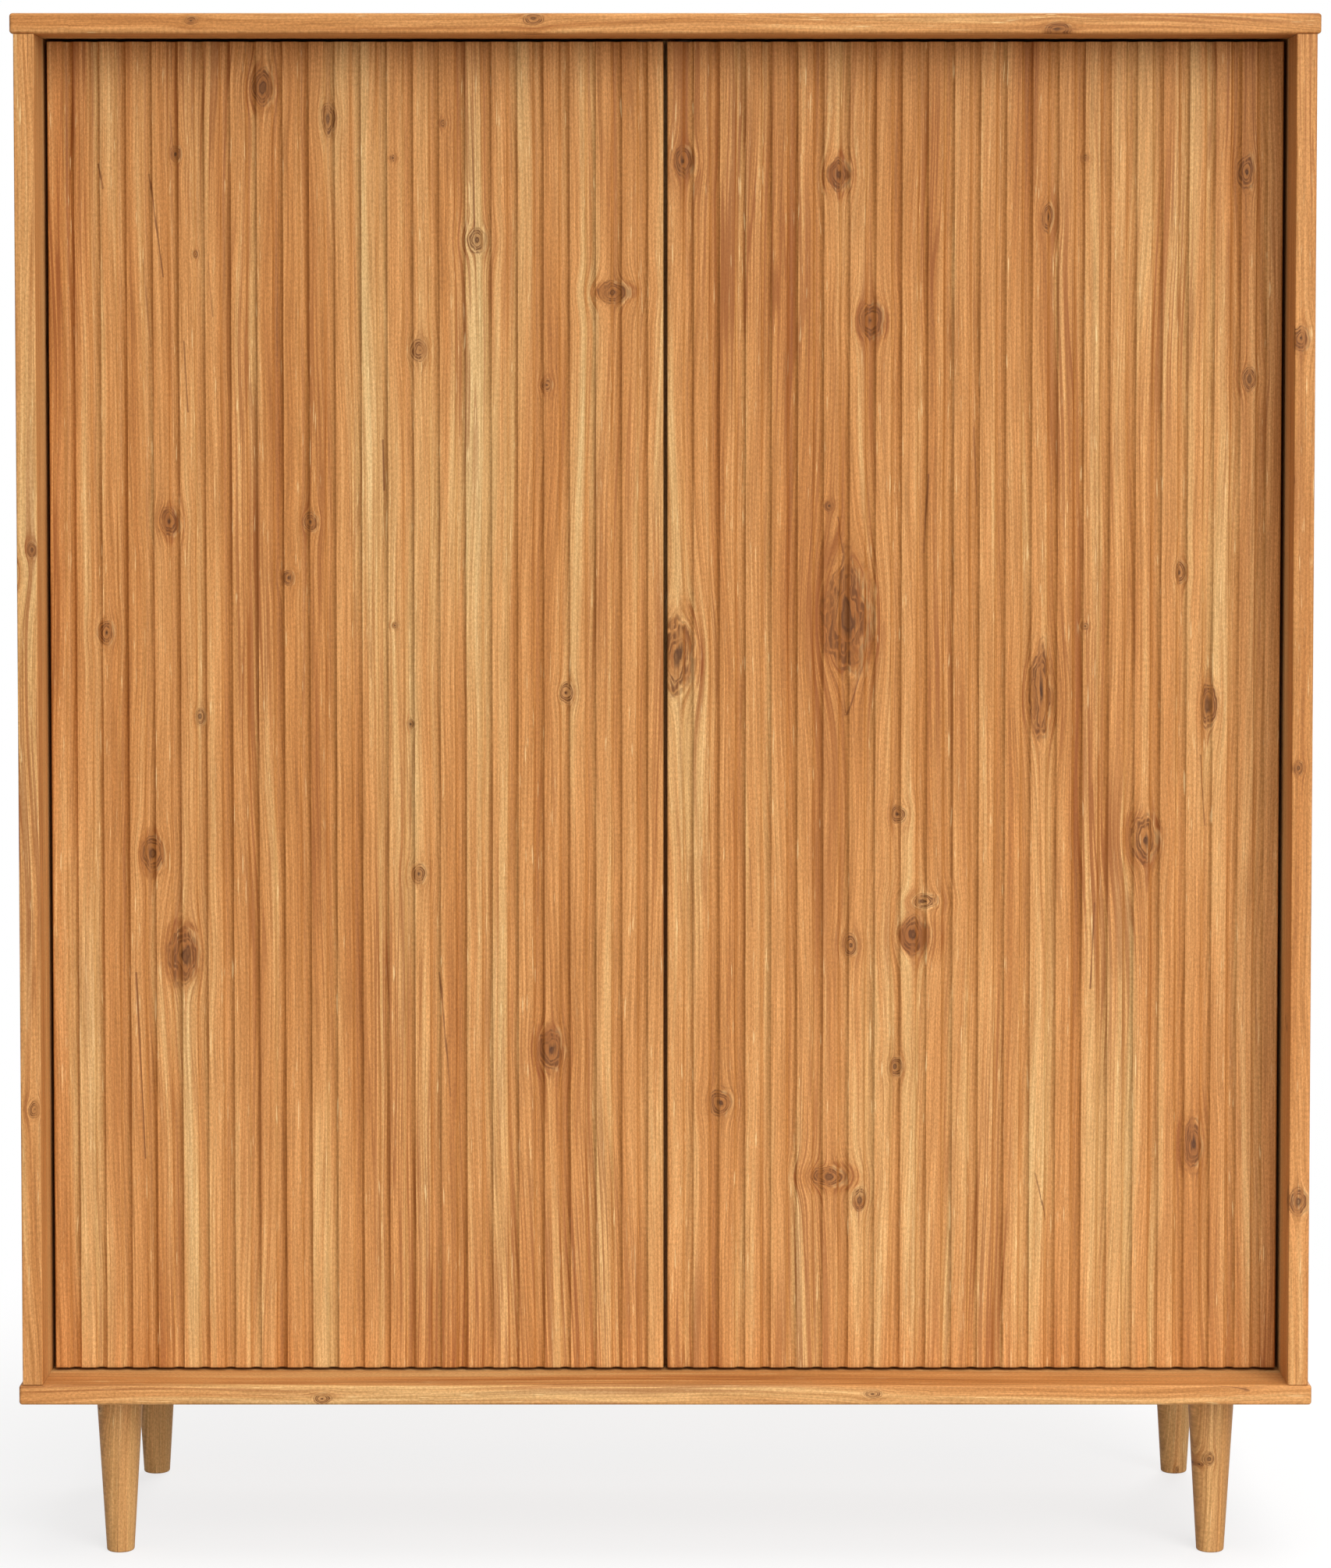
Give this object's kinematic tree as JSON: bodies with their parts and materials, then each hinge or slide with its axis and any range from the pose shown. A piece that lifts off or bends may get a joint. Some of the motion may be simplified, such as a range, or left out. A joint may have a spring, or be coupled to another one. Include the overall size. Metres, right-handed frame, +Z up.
{
  "type": "highboard",
  "caption": "Tall cupboard with ribbed doors set back in a plain wooden carcass, with shelves, concealed hinges and push latches inside, on tapered round legs.",
  "frame": {"origin": "on the floor under the middle of the carcass", "axes": "+Z up, -Y towards the person facing the doors, +X to that person's right"},
  "size_m": [1.02, 0.4, 1.227],
  "materials": {
    "wood_decor": "satin knotty wood decor",
    "wood_leg": "satin turned wood",
    "back_board": "matt thin board",
    "hinge_steel": "nickel-plated stamped steel",
    "latch_plastic": "matt moulded plastic",
    "pin_steel": "turned steel",
    "bolt_steel": "zinc-plated steel"
  },
  "bodies": {
    "carcass": {"top_panel": "wood_decor", "bottom_panel": "wood_decor", "left_side_panel": "wood_decor", "right_side_panel": "wood_decor", "centre_divider": "wood_decor", "left_back_board": "back_board", "right_back_board": "back_board", "left_shelf_1": "wood_decor", "left_shelf_2": "wood_decor", "right_shelf_1": "wood_decor", "right_shelf_2": "wood_decor", "left_shelf_1_pin_outer_front": "pin_steel", "left_shelf_1_pin_outer_back": "pin_steel", "left_shelf_1_pin_inner_front": "pin_steel", "left_shelf_1_pin_inner_back": "pin_steel", "left_shelf_2_pin_outer_front": "pin_steel", "left_shelf_2_pin_outer_back": "pin_steel", "left_shelf_2_pin_inner_front": "pin_steel", "left_shelf_2_pin_inner_back": "pin_steel", "right_shelf_1_pin_outer_front": "pin_steel", "right_shelf_1_pin_outer_back": "pin_steel", "right_shelf_1_pin_inner_front": "pin_steel", "right_shelf_1_pin_inner_back": "pin_steel", "right_shelf_2_pin_outer_front": "pin_steel", "right_shelf_2_pin_outer_back": "pin_steel", "right_shelf_2_pin_inner_front": "pin_steel", "right_shelf_2_pin_inner_back": "pin_steel", "left_hinge_bottom_arm": "hinge_steel", "left_hinge_bottom_plate": "hinge_steel", "left_hinge_middle_arm": "hinge_steel", "left_hinge_middle_plate": "hinge_steel", "left_hinge_top_arm": "hinge_steel", "left_hinge_top_plate": "hinge_steel", "right_hinge_bottom_arm": "hinge_steel", "right_hinge_bottom_plate": "hinge_steel", "right_hinge_middle_arm": "hinge_steel", "right_hinge_middle_plate": "hinge_steel", "right_hinge_top_arm": "hinge_steel", "right_hinge_top_plate": "hinge_steel", "left_latch_housing": "latch_plastic", "right_latch_housing": "latch_plastic", "front_left_leg": "wood_leg", "front_left_leg_bolt": "bolt_steel", "front_right_leg": "wood_leg", "front_right_leg_bolt": "bolt_steel", "back_left_leg": "wood_leg", "back_left_leg_bolt": "bolt_steel", "back_right_leg": "wood_leg", "back_right_leg_bolt": "bolt_steel"},
    "left_door_leaf": {"left_door": "wood_decor", "left_hinge_bottom_cup": "hinge_steel", "left_hinge_middle_cup": "hinge_steel", "left_hinge_top_cup": "hinge_steel"},
    "left_plunger": {"left_latch_plunger": "latch_plastic"},
    "right_door_leaf": {"right_door": "wood_decor", "right_hinge_bottom_cup": "hinge_steel", "right_hinge_middle_cup": "hinge_steel", "right_hinge_top_cup": "hinge_steel"},
    "right_plunger": {"right_latch_plunger": "latch_plastic"}
  },
  "joints": [
    {"name": "left_door_hinge", "type": "hinge", "parent": "carcass", "child": "left_door_leaf", "pos_m": [-0.474, -0.1388, 0.6805], "axis": [0, 0, -1], "range_deg": [0, 95]},
    {"name": "left_latch_slide", "type": "slide", "parent": "carcass", "child": "left_plunger", "axis": [0, -1, 0], "range_m": [0, 0.02]},
    {"name": "right_door_hinge", "type": "hinge", "parent": "carcass", "child": "right_door_leaf", "pos_m": [0.474, -0.1388, 0.6805], "axis": [0, 0, 1], "range_deg": [0, 95]},
    {"name": "right_latch_slide", "type": "slide", "parent": "carcass", "child": "right_plunger", "axis": [0, -1, 0], "range_m": [0, 0.02]}
  ],
  "couplings": [
    {"joint": "left_latch_slide", "follows": "left_door_hinge", "m_per_rad": 0.01206},
    {"joint": "right_latch_slide", "follows": "right_door_hinge", "m_per_rad": 0.01206}
  ]
}
